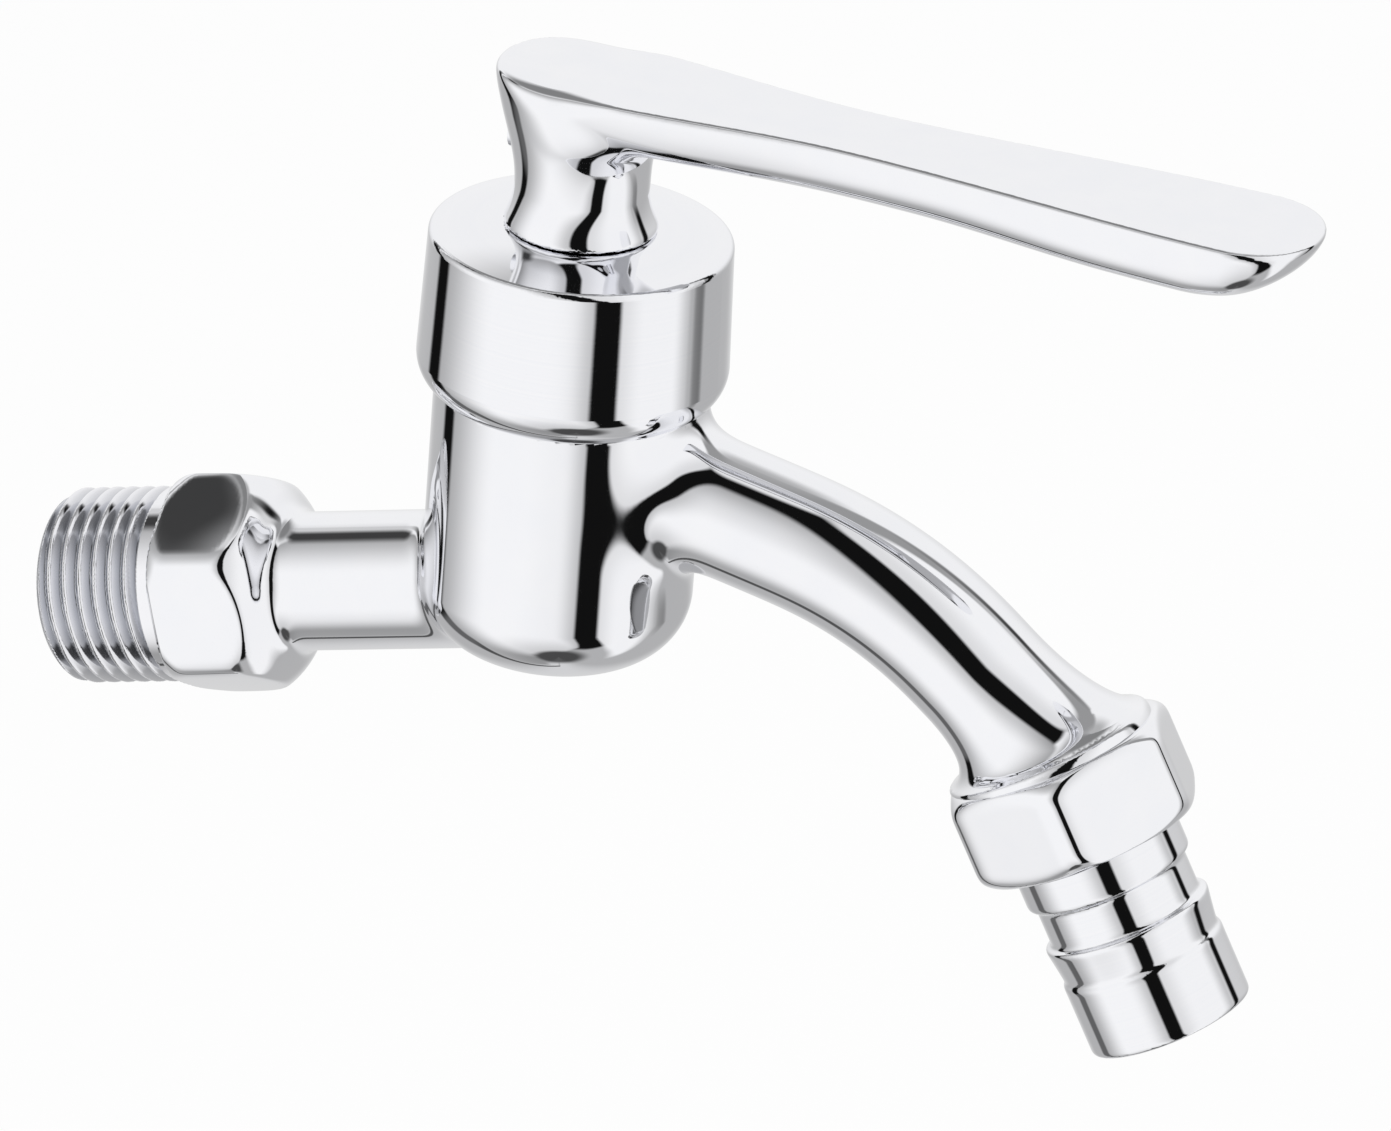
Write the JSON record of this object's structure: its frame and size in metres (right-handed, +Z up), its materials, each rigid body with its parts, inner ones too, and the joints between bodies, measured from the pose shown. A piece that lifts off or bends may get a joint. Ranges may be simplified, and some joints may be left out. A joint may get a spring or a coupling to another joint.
{
  "type": "lever garden tap",
  "caption": "Wall tap with a leaning quarter-turn lever, a curved spout and a union nut that holds a hose nozzle.",
  "frame": {"origin": "centre of the inlet thread's end face, where the tap meets the wall", "axes": "+X from the wall along the inlet towards the outlet, +Z up as fitted, +Y to the side the lever opens to"},
  "size_m": [0.1498, 0.0326, 0.1115],
  "materials": {
    "chrome": "polished chrome plate",
    "brass": "turned",
    "ceramic": "lapped alumina ceramic",
    "seal_rubber": "moulded",
    "gasket_fibre": "pressed fibre",
    "bush_plastic": "moulded acetal",
    "steel": "plain stainless"
  },
  "bodies": {
    "tap": {"valve_body": "chrome", "seat_seal": "seal_rubber", "fixed_disc": "ceramic", "headwork_shell": "brass", "headwork_gasket": "gasket_fibre", "thrust_washer": "bush_plastic", "cap": "chrome", "cap_seal": "seal_rubber", "union_nut": "chrome", "nozzle_gasket": "seal_rubber", "hose_nozzle": "chrome"},
    "lever": {"lever_handle": "chrome", "handle_bush": "bush_plastic", "handle_screw": "steel", "screw_plug": "chrome", "spindle": "brass", "spindle_clip": "steel", "spindle_ring_lower": "seal_rubber", "spindle_ring_upper": "seal_rubber", "rotating_disc": "ceramic"}
  },
  "joints": [
    {"name": "lever_turn", "type": "hinge", "parent": "tap", "child": "lever", "pos_m": [0.05689, 0, 0], "axis": [0.2613, 0, 0.9652], "range_deg": [0, 90]}
  ]
}
